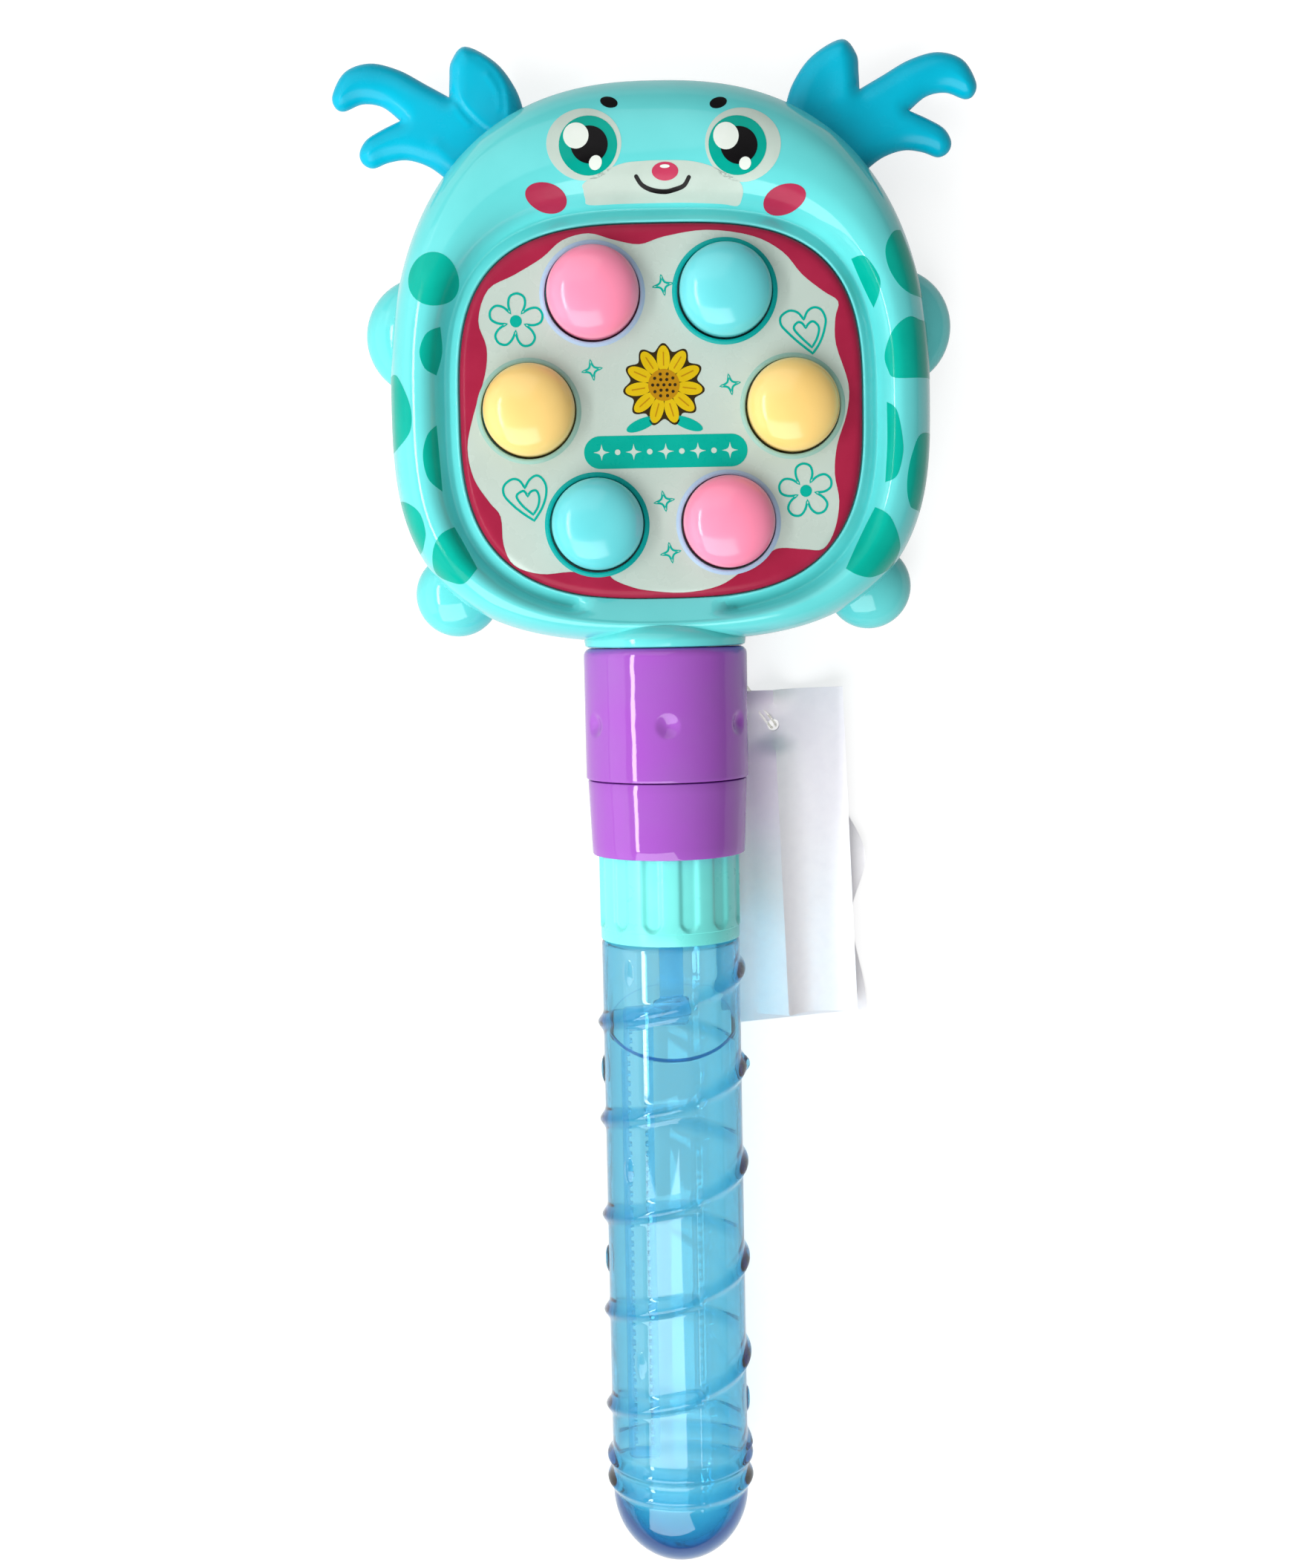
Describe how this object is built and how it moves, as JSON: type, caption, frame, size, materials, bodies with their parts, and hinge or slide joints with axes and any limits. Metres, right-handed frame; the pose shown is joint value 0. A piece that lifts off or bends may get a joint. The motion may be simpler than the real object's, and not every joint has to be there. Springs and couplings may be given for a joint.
{
  "type": "mole pounding game",
  "caption": "Hand-held mole pounding game: egg-shaped head with domed push buttons, a face print and antlers, on a collar that holds a screw-on bubble tube, its wand and a leaflet.",
  "frame": {"origin": "on the head's flat back, under the middle of the toy's length", "axes": "+X to the right of someone who looks at the face, +Y from the bubble tube to the antlers, +Z out of the face"},
  "size_m": [0.177, 0.4272, 0.0484],
  "materials": {
    "shell_turquoise": "glossy moulded turquoise",
    "panel_white": "printed off-white with a deep pink border",
    "button_pink": "glossy moulded pink",
    "button_teal": "glossy moulded turquoise",
    "button_yellow": "glossy moulded yellow",
    "rubber_grey": "matt grey",
    "led_clear": "clear",
    "board_green": "green laminate",
    "dark_plastic": "matt black",
    "cell_jacket": "printed jacket on a metal can",
    "steel": "plated",
    "antler_blue": "soft vinyl, satin blue",
    "collar_purple": "glossy moulded purple",
    "cap_aqua": "satin moulded aqua",
    "wand_blue": "translucent blue",
    "clear_blue": "clear blown blue",
    "paper_white": "bare white paper",
    "string_clear": "clear nylon line"
  },
  "bodies": {
    "head": {"front_shell": "shell_turquoise", "back_shell": "shell_turquoise", "game_panel": "panel_white", "dome_pink_top": "rubber_grey", "dome_pink_bottom": "rubber_grey", "dome_teal_top": "rubber_grey", "dome_teal_bottom": "rubber_grey", "dome_yellow_right": "rubber_grey", "dome_yellow_left": "rubber_grey", "led_pink_top": "led_clear", "led_pink_bottom": "led_clear", "led_teal_top": "led_clear", "led_teal_bottom": "led_clear", "led_yellow_right": "led_clear", "led_yellow_left": "led_clear", "circuit_board": "board_green", "speaker": "dark_plastic", "battery_1": "cell_jacket", "battery_2": "cell_jacket", "battery_3": "cell_jacket", "battery_contact_left": "steel", "battery_contact_right": "steel", "case_screw_1": "steel", "case_screw_2": "steel", "case_screw_3": "steel", "case_screw_4": "steel", "case_screw_5": "steel", "case_screw_6": "steel", "antler_left": "antler_blue", "antler_right": "antler_blue", "neck_collar": "collar_purple", "coupling_ring": "collar_purple", "leaflet_string": "string_clear"},
    "pink_top": {"button_pink_top": "button_pink"},
    "teal_top": {"button_teal_top": "button_teal"},
    "yellow_right": {"button_yellow_right": "button_yellow"},
    "pink_bottom": {"button_pink_bottom": "button_pink"},
    "teal_bottom": {"button_teal_bottom": "button_teal"},
    "yellow_left": {"button_yellow_left": "button_yellow"},
    "door": {"battery_door": "shell_turquoise", "door_screw": "steel"},
    "switch": {"power_switch": "dark_plastic"},
    "bubble_stick": {"tube_cap": "cap_aqua", "bubble_wand": "wand_blue"},
    "seal": {"cap_seal": "rubber_grey"},
    "tube": {"bubble_tube": "clear_blue"},
    "leaflet": {"leaflet_cover": "paper_white", "leaflet_insert": "paper_white"}
  },
  "joints": [
    {"name": "press_pink_top", "type": "slide", "parent": "head", "child": "pink_top", "axis": [0, 0, -1], "range_m": [0, 0.0036], "stiffness_N_per_m": 200, "springref_m": -0.003, "deforming": ["dome_pink_top"]},
    {"name": "press_teal_top", "type": "slide", "parent": "head", "child": "teal_top", "axis": [0, 0, -1], "range_m": [0, 0.0036], "stiffness_N_per_m": 200, "springref_m": -0.003, "deforming": ["dome_teal_top"]},
    {"name": "press_yellow_right", "type": "slide", "parent": "head", "child": "yellow_right", "axis": [0, 0, -1], "range_m": [0, 0.0036], "stiffness_N_per_m": 200, "springref_m": -0.003, "deforming": ["dome_yellow_right"]},
    {"name": "press_pink_bottom", "type": "slide", "parent": "head", "child": "pink_bottom", "axis": [0, 0, -1], "range_m": [0, 0.0036], "stiffness_N_per_m": 200, "springref_m": -0.003, "deforming": ["dome_pink_bottom"]},
    {"name": "press_teal_bottom", "type": "slide", "parent": "head", "child": "teal_bottom", "axis": [0, 0, -1], "range_m": [0, 0.0036], "stiffness_N_per_m": 200, "springref_m": -0.003, "deforming": ["dome_teal_bottom"]},
    {"name": "press_yellow_left", "type": "slide", "parent": "head", "child": "yellow_left", "axis": [0, 0, -1], "range_m": [0, 0.0036], "stiffness_N_per_m": 200, "springref_m": -0.003, "deforming": ["dome_yellow_left"]},
    {"name": "door_hinge", "type": "hinge", "parent": "head", "child": "door", "pos_m": [0, 0.09175, 0.00097], "axis": [-1, 0, 0], "range_deg": [0, 100]},
    {"name": "switch_slide", "type": "slide", "parent": "head", "child": "switch", "axis": [1, 0, 0], "range_m": [0, 0.005]},
    {"name": "stick_pull", "type": "slide", "parent": "head", "child": "bubble_stick", "axis": [0, -1, 0], "range_m": [0, 0.03]},
    {"name": "tube_turn", "type": "hinge", "parent": "bubble_stick", "child": "seal", "pos_m": [0, -0.0148, 0.0228], "axis": [0, 1, 0], "continuous": true},
    {"name": "tube_pull", "type": "slide", "parent": "seal", "child": "tube", "axis": [0, -1, 0], "range_m": [0, 0.185]},
    {"name": "leaflet_swing", "type": "hinge", "parent": "head", "child": "leaflet", "pos_m": [0.0312, 0.0249, 0.0001], "axis": [0, 0, 1], "range_deg": [-4, 25]}
  ]
}
